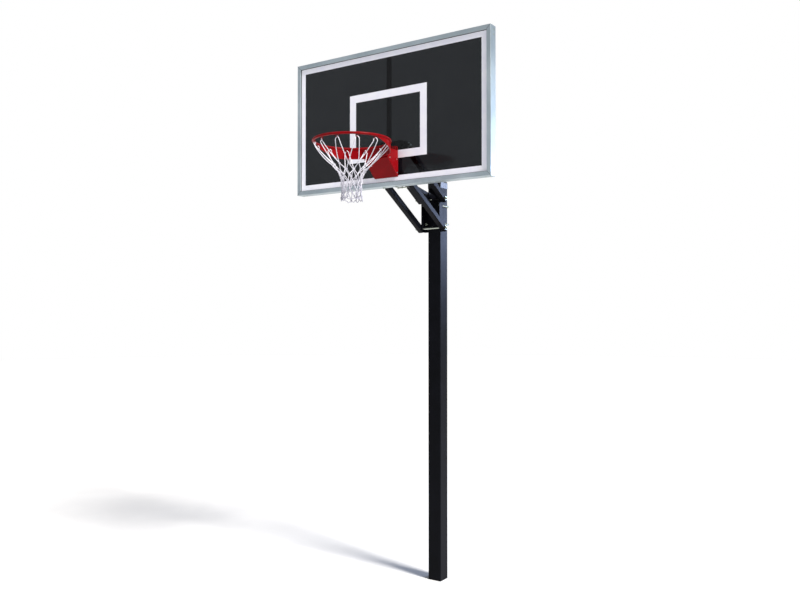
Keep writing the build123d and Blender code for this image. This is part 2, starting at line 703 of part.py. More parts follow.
def net_panel(upper, lower):
    """One flat panel of the funnel: a twelfth of the shell between two heights."""
    sectors = HOOKS
    shell = []
    for skin in (0.0, NET_SKIN):
        rims = [Pos(0, 0, z) * RegularPolygon(radius=r - skin, side_count=sectors) for r, z in (upper, lower)]
        shell.append(loft(rims, ruled=True))
    half = 180 / sectors
    far = 400.0
    side = far * tan(radians(half))
    sector = Polyline((0, 0), (far, -side), (far, side), close=True)
    wedge = Pos(0, 0, lower[1]) * extrude(make_face(sector), amount=upper[1] - lower[1])
    return (shell[0] - shell[1]) & (Rot(0, 0, half) * wedge)


def make_net():
    """Funnel of flat panels that stands for the knotted cord net, open at the top and bottom."""
    panels = []
    for upper, lower in zip(NET_PROFILE, NET_PROFILE[1:]):
        panel = net_panel(upper, lower)
        for i in range(HOOKS):
            panels.append(Pos(0, RING_Y, 0) * Rot(0, 0, 15.0 + i * 360.0 / HOOKS) * panel)
    return panels


# ---- write every piece --------------------------------------------------------------------
def main():
    os.makedirs("parts", exist_ok=True)
    rear = (REAR_PIVOT_LOW, REAR_PIVOT_HIGH)
    front = (FRONT_PIVOT_LOW, FRONT_PIVOT_HIGH)
    save("pole", make_pole())
    save("pole_foot_plug", make_foot_plug())
    save("pole_cap", make_pole_cap())
    save("pole_bracket", make_pole_bracket())
    save("u_bolts", make_u_bolts())
    save("u_bolt_washers", make_u_bolt_washers())
    save("u_bolt_nuts", make_u_bolt_nuts())
    save("rear_pivot_rods", make_rods(REAR_PIVOT_Y, rear))
    save("rear_pivot_washers", make_thin_washers(REAR_PIVOT_Y, rear))
    save("rear_pivot_nuts", make_rod_nuts(REAR_PIVOT_Y, rear))
    save("strut_spacers", make_strut_spacers())

    for level, pivot_z in (("lower", REAR_PIVOT_LOW), ("upper", REAR_PIVOT_HIGH)):
        right, left = both_sides(make_arm(pivot_z))
        save(f"{level}_arm_right", right)
        save(f"{level}_arm_left", left)
        save(f"{level}_arm_bushes", make_arm_bushes(pivot_z))
        save(f"{level}_arm_plugs", make_arm_plugs(pivot_z))

    save("strut_outer_tube", make_strut_outer())
    save("strut_lock_screw", make_strut_lock())
    save("strut_inner_tube", make_strut_inner())

    save("front_pivot_rods", make_rods(FRONT_PIVOT_Y, front))
    save("front_pivot_washers", make_thin_washers(FRONT_PIVOT_Y, front))
    save("front_pivot_nuts", make_rod_nuts(FRONT_PIVOT_Y, front))
    save("board_bracket", make_board_bracket())
    save("bracket_bolts", make_bracket_bolts())
    save("mount_pad", make_mount_pad())
    save("centre_strut", make_centre_strut())
    save("centre_strut_angle", make_centre_strut_angle())
    save("centre_strut_bolts", make_centre_strut_bolts())

    save("frame_top", make_frame_top())
    save("frame_bottom", make_frame_bottom())
    save("frame_left", make_frame_side(-1))
    save("frame_right", make_frame_side(1))
    save("frame_corner_keys", make_corner_keys())
    save("frame_corner_screws", make_corner_screws())
    save("glass_panel", make_glass())
    save("glazing_front", make_glazing_front())
    save("glazing_rear", make_glazing_rear())
    save("glass_setting_blocks", make_setting_blocks())

    save("rim_back_plate", make_rim_back_plate())
    save("rim_bolts", make_rim_bolts())
    save("rim_bolt_nuts", make_rim_nuts())
    save("rim_hinge_pin", make_hinge_pin())
    save("spring_guide_bolts", make_guide_bolts())
    save("spring_guide_nuts", make_guide_nuts())
    save("rim_springs", make_springs())
    save("rim_bracket", make_rim_bracket())
    save("rim_cover", make_rim_cover())
    save("rim_cover_screws", make_cover_screws())
    save("ring", make_ring())
    save("ring_band", make_ring_band())
    save("net_hooks", make_net_hooks())
    save("net", make_net())


main()
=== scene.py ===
import json
import random
from math import cos, pi, radians, sin

import bmesh
import bpy
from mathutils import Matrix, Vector


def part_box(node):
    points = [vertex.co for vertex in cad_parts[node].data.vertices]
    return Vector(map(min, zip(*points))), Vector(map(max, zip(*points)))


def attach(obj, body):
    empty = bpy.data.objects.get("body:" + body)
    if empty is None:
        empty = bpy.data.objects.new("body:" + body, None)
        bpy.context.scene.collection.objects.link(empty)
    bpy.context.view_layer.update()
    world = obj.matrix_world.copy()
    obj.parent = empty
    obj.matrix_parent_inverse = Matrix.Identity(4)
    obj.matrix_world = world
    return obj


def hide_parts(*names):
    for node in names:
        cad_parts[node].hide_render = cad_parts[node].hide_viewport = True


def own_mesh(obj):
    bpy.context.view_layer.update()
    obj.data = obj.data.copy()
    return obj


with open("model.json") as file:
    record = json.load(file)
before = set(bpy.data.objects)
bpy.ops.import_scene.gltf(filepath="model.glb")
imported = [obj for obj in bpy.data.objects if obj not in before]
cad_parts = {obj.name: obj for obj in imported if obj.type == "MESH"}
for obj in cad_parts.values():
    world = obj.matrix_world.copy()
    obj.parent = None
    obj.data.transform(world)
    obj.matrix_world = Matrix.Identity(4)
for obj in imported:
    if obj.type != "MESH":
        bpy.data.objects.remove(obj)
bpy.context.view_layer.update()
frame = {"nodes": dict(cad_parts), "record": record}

# In-ground basketball hoop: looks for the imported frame. Metres, +Z up, the board faces -Y.

MM = 0.001
UP = Vector((0, 0, 1))

# ---- places worked out from the frame -----------------------------------------------------
RING_LOW, RING_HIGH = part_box("ring")
RING_ROD = RING_HIGH.z - RING_LOW.z  # diameter of the ring's bar
RING_CENTRE = (RING_LOW + RING_HIGH) / 2
RING_RADIUS = (RING_HIGH.x - RING_LOW.x - RING_ROD) / 2
HOOK_WIRE = 2.2 * MM                 # radius of the wire of a net hook
HOOK_BAR_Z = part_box("net_hooks")[0].z + HOOK_WIRE
HOOK_RADIUS = RING_RADIUS - 9.5 * MM  # from the ring's axis to the bar of a hook
HOOK_HALF = 8 * MM                   # half the width of a hook
GLASS_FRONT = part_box("glass_panel")[0].y
FRAME_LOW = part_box("frame_bottom")[0]
FRAME_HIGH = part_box("frame_top")[1]
LIP = 28 * MM                        # face of the frame in front of the glass


# ---- camera -------------------------------------------------------------------------------
CAMERA_PLACE = (2.965, -4.926, 1.891)
CAMERA_TURN = (90.961, 0, 33.751)    # degrees


def make_camera():
    """Eye-level view from the right of the court, 36 mm lens on a 36 mm wide frame."""
    data = bpy.data.cameras.new("camera")
    data.sensor_width = 36.0
    data.lens = 36.0
    data.clip_end = 100.0
    camera = bpy.data.objects.new("camera", data)
    camera.location = CAMERA_PLACE
    camera.rotation_euler = [radians(angle) for angle in CAMERA_TURN]
    bpy.context.scene.collection.objects.link(camera)
    bpy.context.scene.camera = camera


# ---- colours and nodes --------------------------------------------------------------------
def linear(code):
    """sRGB hex to linear RGBA."""
    channels = [int(code[i:i + 2], 16) / 255 for i in (1, 3, 5)]
    return [c / 12.92 if c <= 0.04045 else ((c + 0.055) / 1.055) ** 2.4 for c in channels] + [1.0]


def every(size):
    """Pattern scale that repeats about once in this many millimetres."""
    return 1000 / size


def node_adder(tree):
    """Gives the function that adds nodes to one tree."""

    def add(kind, settings=None, out=0, **links):
        """Adds one node with its properties, socket values, colour stops and links; gives one output."""
        node = tree.nodes.new("ShaderNode" + kind)
        for key, value in (settings or {}).items():
            if key == "stops":
                while len(node.color_ramp.elements) < len(value):
                    node.color_ramp.elements.new(0.5)
                for stop, (position, code) in zip(node.color_ramp.elements, value):
                    stop.position = position
                    stop.color = linear(code)
            elif hasattr(node, str(key)):
                setattr(node, key, value)
            else:
                node.inputs[key].default_value = value
        for key, source in links.items():
            socket = int(key[1:]) if key[0] == "_" else key.replace("_", " ")
            tree.links.new(source, node.inputs[socket])
        return node.outputs[out]

    return add


def start_finish(name):
    """Starts a material: the function that adds a node, and the one that shows the finished surface."""
    material = bpy.data.materials.new(name)
    material.use_nodes = True
    tree = material.node_tree
    tree.nodes.remove(tree.nodes["Principled BSDF"])

    def show(surface):
        tree.links.new(surface, tree.nodes["Material Output"].inputs["Surface"])
        return material

    return node_adder(tree), show


def rubbed_edges(add, width):
    """1 on edges that a hand or a carton rubs, 0 on flat faces."""
    rounded = add("Bevel", {"samples": 4, "Radius": width})
    flat = add("NewGeometry", out="Normal")
    match = add("VectorMath", {"operation": "DOT_PRODUCT"}, "Value", _0=rounded, _1=flat)
    bare = 0.875                      # the rounded normal leans 29 degrees off the face
    return add("MapRange", {"From Min": 1.0, "From Max": bare}, Value=match)


# ---- finishes -----------------------------------------------------------------------------
def powder_coat(name, base, worn, dusty, roughness, level):
    """Polyester powder coat baked on steel: fine orange peel, faint mottling, rubbed edges."""
    add, show = start_finish(name)
    place = add("TexCoord", out="Object")
    mottle = add("TexNoise", {"Scale": every(110), "Detail": 4.0, "Roughness": 0.6}, Vector=place)
    tone = add("ValToRGB", {"stops": [(0.35, base), (0.72, dusty)]}, Fac=mottle)
    scuff = add("TexNoise", {"Scale": every(17), "Detail": 6.0}, Vector=place)
    rubbed = add("Math", {"operation": "MULTIPLY"}, _0=rubbed_edges(add, 1.2 * MM), _1=scuff)
    colour = add("Mix", {"data_type": "RGBA", 7: linear(worn)}, 2, _0=rubbed, _6=tone)
    gloss = add("MapRange", {"To Min": roughness - 0.05, "To Max": roughness + 0.09}, Value=mottle)
    peel = add("TexNoise", {"Scale": every(2.4), "Detail": 2.0}, Vector=place)
    bump = add("Bump", {"Strength": 0.12, "Distance": 0.25 * MM}, Height=peel)
    return show(add("BsdfPrincipled", {"Specular IOR Level": level},
                    Base_Color=colour, Roughness=gloss, Normal=bump))


def zinc_cloud(add, place):
    """Colour and roughness of bright zinc under a clear chromate: pale grey with a green-yellow cast."""
    cloud = add("TexNoise", {"Scale": every(22), "Detail": 3.0}, Vector=place)
    tones = [(0.3, "#a3aa96"), (0.55, "#b4bab0"), (0.8, "#cfd2cb")]
    colour = add("ValToRGB", {"stops": tones}, Fac=cloud)
    gloss = add("MapRange", {"To Min": 0.24, "To Max": 0.42}, Value=cloud)
    return colour, gloss


def zinc_plate():
    """Bright zinc plate: cloudy pale grey metal with a fine grain, drawn coarser than real to show."""
    add, show = start_finish("zinc_plate")
    place = add("TexCoord", out="Object")
    colour, gloss = zinc_cloud(add, place)
    grain = add("TexNoise", {"Scale": every(1.1), "Detail": 2.0}, Vector=place)
    bump = add("Bump", {"Strength": 0.1, "Distance": 0.4 * MM}, Height=grain)
    return show(add("BsdfPrincipled", {"Metallic": 1.0},
                    Base_Color=colour, Roughness=gloss, Normal=bump))


def zinc_thread(name, along, start):
    """Zinc-plated bar with a thread cut from start outwards along one axis: 13 grooves to the inch."""
    add, show = start_finish(name)
    place = add("TexCoord", out="Object")
    colour, gloss = zinc_cloud(add, place)
    run = add("SeparateXYZ", out=along, Vector=place)
    turns = add("Math", {"operation": "MULTIPLY", 1: 2 * pi * every(25.4 / 13)}, _0=run)
    groove = add("Math", {"operation": "SINE"}, _0=turns)
    reach = add("Math", {"operation": "ABSOLUTE"}, _0=run)
    threaded = add("Math", {"operation": "GREATER_THAN", 1: start}, _0=reach)
    height = add("Math", {"operation": "MULTIPLY"}, _0=groove, _1=threaded)
    bump = add("Bump", {"Strength": 0.5, "Distance": 0.4 * MM}, Height=height)
    return show(add("BsdfPrincipled", {"Metallic": 1.0},
                    Base_Color=colour, Roughness=gloss, Normal=bump))


# die lines 0.8 mm apart and about 170 mm long: drawn coarser than real so that they show
ACROSS_LINES = every(0.8)
ALONG_LINES = every(170)
RAIL_GRAIN = (ALONG_LINES, ACROSS_LINES, ACROSS_LINES)
STILE_GRAIN = (ACROSS_LINES, ACROSS_LINES, ALONG_LINES)


def anodised_aluminium(name, grain):
    """Clear satin anodised extrusion: pale blue-grey metal with fine die lines along its length."""
    add, show = start_finish(name)
    place = add("TexCoord", out="Object")
    lined = add("Mapping", {"Scale": grain}, Vector=place)
    lines = add("TexNoise", {"Scale": 1.0, "Detail": 3.0}, Vector=lined)
    cloud = add("TexNoise", {"Scale": every(200), "Detail": 5.0, "Roughness": 0.6}, Vector=place)
    colour = add("ValToRGB", {"stops": [(0.3, "#a3afb4"), (0.7, "#bac5c8")]}, Fac=cloud)
    gloss = add("MapRange", {"To Min": 0.34, "To Max": 0.52}, Value=lines)
    rounded = add("Bevel", {"samples": 4, "Radius": 0.6 * MM})
    bump = add("Bump", {"Strength": 0.15, "Distance": 0.1 * MM}, Height=lines, Normal=rounded)
    return show(add("BsdfPrincipled", {"Metallic": 1.0},
                    Base_Color=colour, Roughness=gloss, Normal=bump))


def smoked_glass():
    """Tempered float glass with a dark grey body tint: polished faces and a trace of dust.

    The index is under real glass's 1.52, because this panel mirrors almost nothing of the room.
    """
    add, show = start_finish("smoked_tempered_glass")
    place = add("TexCoord", out="Object")
    dust = add("TexNoise", {"Scale": every(160), "Detail": 8.0, "Roughness": 0.7}, Vector=place)
    colour = add("ValToRGB", {"stops": [(0.35, "#484a4a"), (0.75, "#515352")]}, Fac=dust)
    gloss = add("MapRange", {"To Min": 0.05, "To Max": 0.14}, Value=dust)
    return show(add("BsdfPrincipled", {"IOR": 1.2, "Transmission Weight": 1.0},
                    Base_Color=colour, Roughness=gloss))


def screen_print():
    """White ceramic ink fired on the glass: faint lavender white, half gloss, marks of the mesh."""
    add, show = start_finish("white_screen_print")
    place = add("TexCoord", out="Object")
    cloud = add("TexNoise", {"Scale": every(70), "Detail": 6.0}, Vector=place)
    colour = add("ValToRGB", {"stops": [(0.3, "#eeeefb"), (0.7, "#f8f8ff")]}, Fac=cloud)
    gloss = add("MapRange", {"To Min": 0.3, "To Max": 0.42}, Value=cloud)
    weave = add("TexVoronoi", {"Scale": every(1.9)}, Vector=place)     # coarser than real, to show
    bump = add("Bump", {"Strength": 0.08, "Distance": 0.05 * MM}, Height=weave)
    return show(add("BsdfPrincipled", None, Base_Color=colour, Roughness=gloss, Normal=bump))


def epdm_rubber():
    """Extruded EPDM: matt near-black with a bloom of grey."""
    add, show = start_finish("epdm_rubber")
    place = add("TexCoord", out="Object")
    bloom = add("TexNoise", {"Scale": every(33), "Detail": 6.0}, Vector=place)
    colour = add("ValToRGB", {"stops": [(0.4, "#141414"), (0.8, "#2b2b2b")]}, Fac=bloom)
    gloss = add("MapRange", {"To Min": 0.7, "To Max": 0.9}, Value=bloom)
    skin = add("TexNoise", {"Scale": every(0.8)}, Vector=place)        # coarser than real, to show
    bump = add("Bump", {"Strength": 0.2, "Distance": 0.1 * MM}, Height=skin)
    return show(add("BsdfPrincipled", None, Base_Color=colour, Roughness=gloss, Normal=bump))


def moulded_plastic(name, base, faded, roughness):
    """Injection-moulded polyethylene: fine spark-eroded grain, soft sheen, faded in patches."""
    add, show = start_finish(name)
    place = add("TexCoord", out="Object")
    fade = add("TexNoise", {"Scale": every(83), "Detail": 5.0}, Vector=place)
    colour = add("ValToRGB", {"stops": [(0.35, base), (0.75, faded)]}, Fac=fade)
    gloss = add("MapRange", {"To Min": roughness, "To Max": roughness + 0.12}, Value=fade)
    grain = add("TexVoronoi", {"Scale": every(0.7)}, Vector=place)     # coarser than real, to show
    rounded = add("Bevel", {"samples": 4, "Radius": 0.8 * MM})
    bump = add("Bump", {"Strength": 0.15, "Distance": 0.1 * MM}, Height=grain, Normal=rounded)
    return show(add("BsdfPrincipled", None, Base_Color=colour, Roughness=gloss, Normal=bump))


def braided_cord():
    """Braided polyester cord: diagonal plaits every 3 mm, soft sheen; painted shade darkens the grooves
    between plaits and greys the cord low down.
    """
    add, show = start_finish("braided_net_cord")
    flat = add("UVMap")
    around = add("SeparateXYZ", out="X", Vector=flat)
    run = add("SeparateXYZ", out="Y", Vector=flat)
    along = add("Math", {"operation": "MULTIPLY", 1: every(3.0)}, _0=run)
    strands = []
    for lean in (3.0, -3.0):          # three plaits to one turn round the cord, each way
        turned = add("Math", {"operation": "MULTIPLY_ADD", 1: lean}, _0=around, _2=along)
        angle = add("Math", {"operation": "MULTIPLY", 1: 2 * pi}, _0=turned)
        strands.append(add("Math", {"operation": "SINE"}, _0=angle))
    plait = add("Math", {"operation": "MAXIMUM"}, _0=strands[0], _1=strands[1])
    # painted shade: the grooves between plaits are coloured darker grey than the plait tops
    groove = add("MapRange", {"From Min": -0.6, "From Max": 0.8}, Value=plait)
    shaded_plaits = add("ValToRGB", {"stops": [(0.0, "#98979f"), (0.7, "#ecebf5")]}, Fac=groove)
    # painted shade: the cord is multiplied greyer from 120 mm down to 330 mm under the hook bars
    height = add("SeparateXYZ", out="Z", Vector=add("TexCoord", out="Object"))
    shade_from_above = HOOK_BAR_Z - 120 * MM
    shade_full_below = HOOK_BAR_Z - 330 * MM
    low_shade = add("MapRange", {"From Min": shade_from_above, "From Max": shade_full_below}, Value=height)
    low_shade_multiply = {"data_type": "RGBA", "blend_type": "MULTIPLY", 7: linear("#bebec4")}
    colour = add("Mix", low_shade_multiply, 2, _0=low_shade, _6=shaded_plaits)
    bump = add("Bump", {"Strength": 0.6, "Distance": 0.5 * MM}, Height=plait)
    return show(add("BsdfPrincipled", {"Roughness": 0.72, "Sheen Weight": 0.25, "Sheen Roughness": 0.4},
                    Base_Color=colour, Normal=bump))


def make_finishes():
    """Every finish of the hoop, under the name that slots and pieces ask for it by."""
    return {
        "black_steel": powder_coat("black_powder_coat", base="#07080c", worn="#2c2e34", dusty="#0c0d13",
                                   roughness=0.36, level=0.06),
        "red_steel": powder_coat("red_powder_coat", base="#72040a", worn="#a8362c", dusty="#80070d",
                                 roughness=0.3, level=0.07),
        "red_weld": powder_coat("red_coat_on_weld", base="#70060a", worn="#a83a30", dusty="#7e090d",
                                roughness=0.36, level=0.2),
        "zinc_steel": zinc_plate(),
        "zinc_rod": zinc_thread("zinc_plate_cut_thread", along="X", start=116 * MM),
        "zinc_bolt": zinc_thread("zinc_plate_rolled_thread", along="Y", start=0.0),
        "frame_aluminium": anodised_aluminium("anodised_extrusion_across", RAIL_GRAIN),
        "frame_upright": anodised_aluminium("anodised_extrusion_upright", STILE_GRAIN),
        "smoked_glass": smoked_glass(),
        "black_rubber": epdm_rubber(),
        "black_plastic": moulded_plastic("moulded_polyethylene", base="#121214", faded="#1f1f22",
                                         roughness=0.5),
        "cap_plastic": moulded_plastic("moulded_pole_cap", base="#1b1d1f", faded="#303236",
                                       roughness=0.28),
        "print": screen_print(),
        "net_cord": braided_cord(),
    }


# nodes with a finish of their own in place of their slot's
OWN_FINISH = {
    "frame_left": "frame_upright",
    "frame_right": "frame_upright",
    "rear_pivot_rods": "zinc_rod",
    "front_pivot_rods": "zinc_rod",
    "u_bolts": "zinc_bolt",
    "spring_guide_bolts": "zinc_bolt",
    "rim_bolts": "red_steel",
}


def dress_frame(finishes):
    """Gives every carried-over node its finish, by the record's slot."""
    slots = {part["node"]: part["material_slot"] for part in frame["record"]["subparts"]}
    for name, node in frame["nodes"].items():
        finish = finishes[OWN_FINISH.get(name, slots[name])]
        for slot in node.material_slots:
            slot.material = finish


# ---- mesh making --------------------------------------------------------------------------
def stand(name, bm, material):
    """Makes an object of a finished bmesh, in one material."""
    mesh = bpy.data.meshes.new(name)
    bm.to_mesh(mesh)
    bm.free()
    mesh.materials.append(material)
    made = bpy.data.objects.new(name, mesh)
    bpy.context.scene.collection.objects.link(made)
    return made


def new_piece(name, bm, material, body, smooth=True):
    """A piece of the hoop in one finish, which rides one body."""
    bmesh.ops.recalc_face_normals(bm, faces=bm.faces)
    piece = stand(name, bm, material)
    for face in piece.data.polygons:
        face.use_smooth = smooth
    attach(piece, body)
    return piece


def smooth_path(points, steps):
    """Catmull-Rom points through the given ones."""
    ends = [points[0] * 2 - points[1]] + list(points) + [points[-1] * 2 - points[-2]]
    path = []
    for i in range(1, len(ends) - 2):
        before, start, end, after = ends[i - 1:i + 3]
        for k in range(steps):
            t = k / steps
            bend = 2 * before - 5 * start + 4 * end - after
            twist = 3 * start - before - 3 * end + after
            path.append((2 * start + (end - before) * t + bend * t ** 2 + twist * t ** 3) / 2)
    path.append(points[-1].copy())
    return path


def tube(bm, path, radius, sides=8):
    """A round tube along a path, with UVs: X once round, Y in metres along."""
    uv = bm.loops.layers.uv.verify()
    across = (path[1] - path[0]).normalized().orthogonal().normalized()
    rings = []
    runs = [0.0]
    for i, point in enumerate(path):
        ahead = (path[min(i + 1, len(path) - 1)] - path[max(i - 1, 0)]).normalized()
        across = (across - ahead * across.dot(ahead)).normalized()
        side = ahead.cross(across)
        size = radius(i / (len(path) - 1)) if callable(radius) else radius
        rings.append([bm.verts.new(point + (across * cos(a) + side * sin(a)) * size)
                      for a in (2 * pi * k / sides for k in range(sides))])
        if i:
            runs.append(runs[-1] + (point - path[i - 1]).length)
    tube_skin(bm, uv, rings, runs)


def tube_skin(bm, uv, rings, runs):
    """Faces and UVs between a tube's rings of corners, and a flat cap on each end."""
    sides = len(rings[0])
    for i in range(len(rings) - 1):
        for k in range(sides):
            n = (k + 1) % sides
            face = bm.faces.new((rings[i][k], rings[i][n], rings[i + 1][n], rings[i + 1][k]))
            marks = ((k, i), (k + 1, i), (k + 1, i + 1), (k, i + 1))
            for loop, (turn, row) in zip(face.loops, marks):
                loop[uv].uv = (turn / sides, runs[row])
    bm.faces.new(rings[0][::-1])
    bm.faces.new(rings[-1])


def slab(bm, profile, front, back):
    """A flat slab between two depths, with this outline of (x, z) corners."""
    sides = [[bm.verts.new((x, y, z)) for x, z in profile] for y in (front, back)]
    bm.faces.new(sides[0])
    bm.faces.new(sides[1][::-1])
    for k in range(len(profile)):
        n = (k + 1) % len(profile)
        bm.faces.new((sides[0][k], sides[1][k], sides[1][n], sides[0][n]))


# ---- printed lines, glazing bead with painted shadow line, and corner seams on the board ---
def inset(rect, step):
    """A rectangle (low x, high x, low z, high z) drawn in by one step all round."""
    return rect[0] + step, rect[1] - step, rect[2] + step, rect[3] - step


def outline(bm, outer, width, front, back):
    """A rectangular outline standing on the glass, between two depths."""
    inner = inset(outer, width)
    loops = []
    for rect, y in ((outer, front), (inner, front), (inner, back), (outer, back)):
        x0, x1, z0, z1 = rect
        loops.append([bm.verts.new((x, y, z)) for x, z in ((x0, z0), (x1, z0), (x1, z1), (x0, z1))])
    for a, b in zip(loops, loops[1:] + loops[:1]):
        for k in range(4):
            n = (k + 1) % 4
            bm.faces.new((a[k], a[n], b[n], b[k]))


def lip_edge():
    """The inner edge of the frame's lip."""
    return inset((FRAME_LOW.x, FRAME_HIGH.x, FRAME_LOW.z, FRAME_HIGH.z), LIP)


def make_printed_lines(finishes):
    """White border inside the frame, and the shooter's square above the ring."""
    front = GLASS_FRONT - 0.15 * MM
    back = GLASS_FRONT - 0.01 * MM
    hidden = 4 * MM                   # the ink runs on under the lip
    border = 38 * MM + hidden
    bm = bmesh.new()
    outline(bm, inset(lip_edge(), -hidden), border, front, back)
    new_piece("printed_border", bm, finishes["print"], "board", smooth=False)

    width = 609.6 * MM
    height = 457.2 * MM
    line = 50.8 * MM
    foot = FRAME_LOW.z + 178 * MM
    bm = bmesh.new()
    outline(bm, (-width / 2, width / 2, foot, foot + height), line, front, back)
    new_piece("printed_target", bm, finishes["print"], "board", smooth=False)


def make_bead_and_shadow_line(finishes):
    """Thin black rubber bead between the lip and the glass; its dark line is also painted shade,
    standing in for the shadow along the lip's inner edge.
    """
    tucked = 1.0 * MM                 # the bead runs on under the lip
    width = 3.6 * MM
    front = GLASS_FRONT - 1.8 * MM
    back = GLASS_FRONT - 0.2 * MM
    bm = bmesh.new()
    outline(bm, inset(lip_edge(), -tucked), width, front, back)
    # painted shade: the black bead draws the shadow line at the lip's inner edge
    new_piece("glazing_bead_and_shadow_line", bm, finishes["black_rubber"], "board", smooth=False)


def make_corner_seams(finishes):
    """Dark sealant in the mitre of each corner, a hair proud of the lip."""
    half = 0.9 * MM                   # half the width of a seam
    short = 0.4 * MM                  # how far a seam stops from the lip's corners
    front = FRAME_LOW.y - 0.12 * MM
    back = FRAME_LOW.y + 0.3 * MM
    bm = bmesh.new()
    for x, way_x in ((FRAME_LOW.x, 1), (FRAME_HIGH.x, -1)):
        for z, way_z in ((FRAME_LOW.z, 1), (FRAME_HIGH.z, -1)):
            start = Vector((x + way_x * short, 0, z + way_z * short))
            end = Vector((x + way_x * (LIP - short), 0, z + way_z * (LIP - short)))
            side = (end - start).normalized().cross(Vector((0, 1, 0))) * half
            corners = (start + side, end + side, end - side, start - side)
            slab(bm, [(corner.x, corner.z) for corner in corners], front, back)
    new_piece("corner_seams", bm, finishes["black_rubber"], "board", smooth=False)


# ---- net ----------------------------------------------------------------------------------
LOOPS = 12
FIRST_HOOK = radians(15)
CORD = 2.4 * MM                       # radius of the cord
NET_TAIL = 0.374                      # drop of the lowest loops under the ring's plane, metres
# knot rows from the top down: drop under the ring's plane and radius, both in metres
NET_ROWS = [
    (0.150, 0.116),
    (0.187, 0.084),
    (0.226, 0.067),
    (0.268, 0.061),
    (0.309, 0.060),
    (0.346, 0.062),
]


def hook_angle(i):
    """Angle of a hook round the ring, from +X; a half lies midway between two hooks."""
    return FIRST_HOOK + 2 * pi * i / LOOPS


def ring_point(angle, radius, z):
    """The point at this angle and distance from the ring's axis, and this height."""
    return Vector((radius * cos(angle), RING_CENTRE.y + radius * sin(angle), z))


def outwards(point):
    """Level direction from the ring's axis towards a point."""
    return Vector((point.x, point.y - RING_CENTRE.y, 0)).normalized()


def knot_rows(rng):
    """Knot places, each row turned half a mesh from the one above, slightly uneven."""
    rows = []
    for row, (drop, radius) in enumerate(NET_ROWS):
        turn = 0.5 if row % 2 == 0 else 0.0
        knots = []
        for i in range(LOOPS):
            angle = hook_angle(i + turn) + rng.uniform(-0.05, 0.05) * (1 + row * 0.4)
            lower = drop + rng.uniform(-1, 1) * (3 + row) * MM
            knots.append(ring_point(angle, radius + rng.uniform(-3, 3) * MM, RING_CENTRE.z - lower))
        rows.append(knots)
    return rows


def hook_turn(angle):
    """Seven points of the cord's turn over one hook's bar, from its inner side to its outer side."""
    out = Vector((cos(angle), sin(angle), 0))
    along = Vector((-sin(angle), cos(angle), 0))
    bar = Vector((0, RING_CENTRE.y, HOOK_BAR_Z)) + out * HOOK_RADIUS
    wrap = HOOK_WIRE + CORD + 0.2 * MM          # from the middle of the bar to the middle of the cord
    foot = along * 13 * MM
    knee = along * 10 * MM
    shoulder = along * 3 * MM
    return [bar - out * 0.5 * wrap - foot - UP * 17 * MM,
            bar - out * wrap - knee - UP * 6 * MM,
            bar - out * wrap * 0.9 - shoulder + UP * wrap * 0.4,
            bar + UP * wrap,
            bar + out * wrap * 0.9 + shoulder + UP * wrap * 0.4,
            bar + out * wrap + knee - UP * 6 * MM,
            bar + out * 0.2 * wrap + foot - UP * 17 * MM]


def top_loops(bm, rng, knots):
    """One long cord over each hook's bar, down both sides to the first knots, bowed outwards."""
    for i in range(LOOPS):
        turn = hook_turn(hook_angle(i))
        legs = []
        for start, end in ((knots[i - 1], turn[0]), (knots[i], turn[-1])):
            bow = 0.005 + rng.uniform(-0.003, 0.004)
            third = start.lerp(end, 0.33)
            far = start.lerp(end, 0.68)
            push = outwards(third) * bow
            legs.append([start, third + push * 1.1, far + push * 0.9])
        points = legs[0] + turn + legs[1][::-1]
        tube(bm, smooth_path(points, 6), CORD)


def mesh_legs(bm, rng, rows):
    """Cords between one knot row and the next, each slightly slack."""
    for row, (upper, lower) in enumerate(zip(rows, rows[1:])):
        for i in range(LOOPS):
            after = (i + 1) % LOOPS if row % 2 == 0 else i
            before = i if row % 2 == 0 else (i - 1) % LOOPS
            for k in (before, after):
                middle = upper[i].lerp(lower[k], 0.5)
                slack = outwards(middle) * rng.uniform(-1.5, 4.0) * MM
                points = [upper[i],
                          upper[i].lerp(lower[k], 0.3) + slack,
                          middle + slack * 1.2,
                          upper[i].lerp(lower[k], 0.72) + slack,
                          lower[k]]
                tube(bm, smooth_path(points, 3), CORD)


def knot_wrap(bm, centre, rng):
    """A sheet-bend seen from outside: two small turns of cord round the crossing."""
    half_width = 4.6 * MM
    half_depth = 4.4 * MM
    out = outwards(centre)
    along = out.cross(UP)
    tilt = rng.uniform(-0.4, 0.4)
    for rise, sway in ((2.2 * MM, 0.98 * MM), (-2.2 * MM, -0.98 * MM)):
        points = []
        for k in range(9):
            a = 2 * pi * k / 8
            points.append(centre + UP * (rise + sin(a + tilt) * sway)
                          + along * cos(a) * half_width + out * sin(a) * half_depth)
        tube(bm, smooth_path(points, 2), CORD * 0.86)


def tail_loops(bm, rng, knots):
    """Loose loops under the last row, opened and bent a little each way."""
    half_open = 7 * MM
    lift = UP * 6 * MM
    for i in range(LOOPS):
        start = knots[i]
        end = knots[(i + 1) % LOOPS]
        middle = start.lerp(end, 0.5)
        along = (end - start).normalized()
        floor = RING_CENTRE.z - NET_TAIL + rng.uniform(0, 14) * MM
        lean = outwards(middle) * rng.uniform(-4, 10) * MM
        foot = Vector((middle.x, middle.y, floor)) + lean
        bends = []
        for knot, way in ((start, -along), (end, along)):
            below = Vector((knot.x, knot.y, floor))
            bends.append(knot.lerp(below, 0.55) + lean * 0.6 + way * rng.uniform(0, 5) * MM)
        points = [start,
                  bends[0],
                  foot - along * half_open + lift,
                  foot,
                  foot + along * half_open + lift,
                  bends[1],
                  end]
        tube(bm, smooth_path(points, 4), CORD)


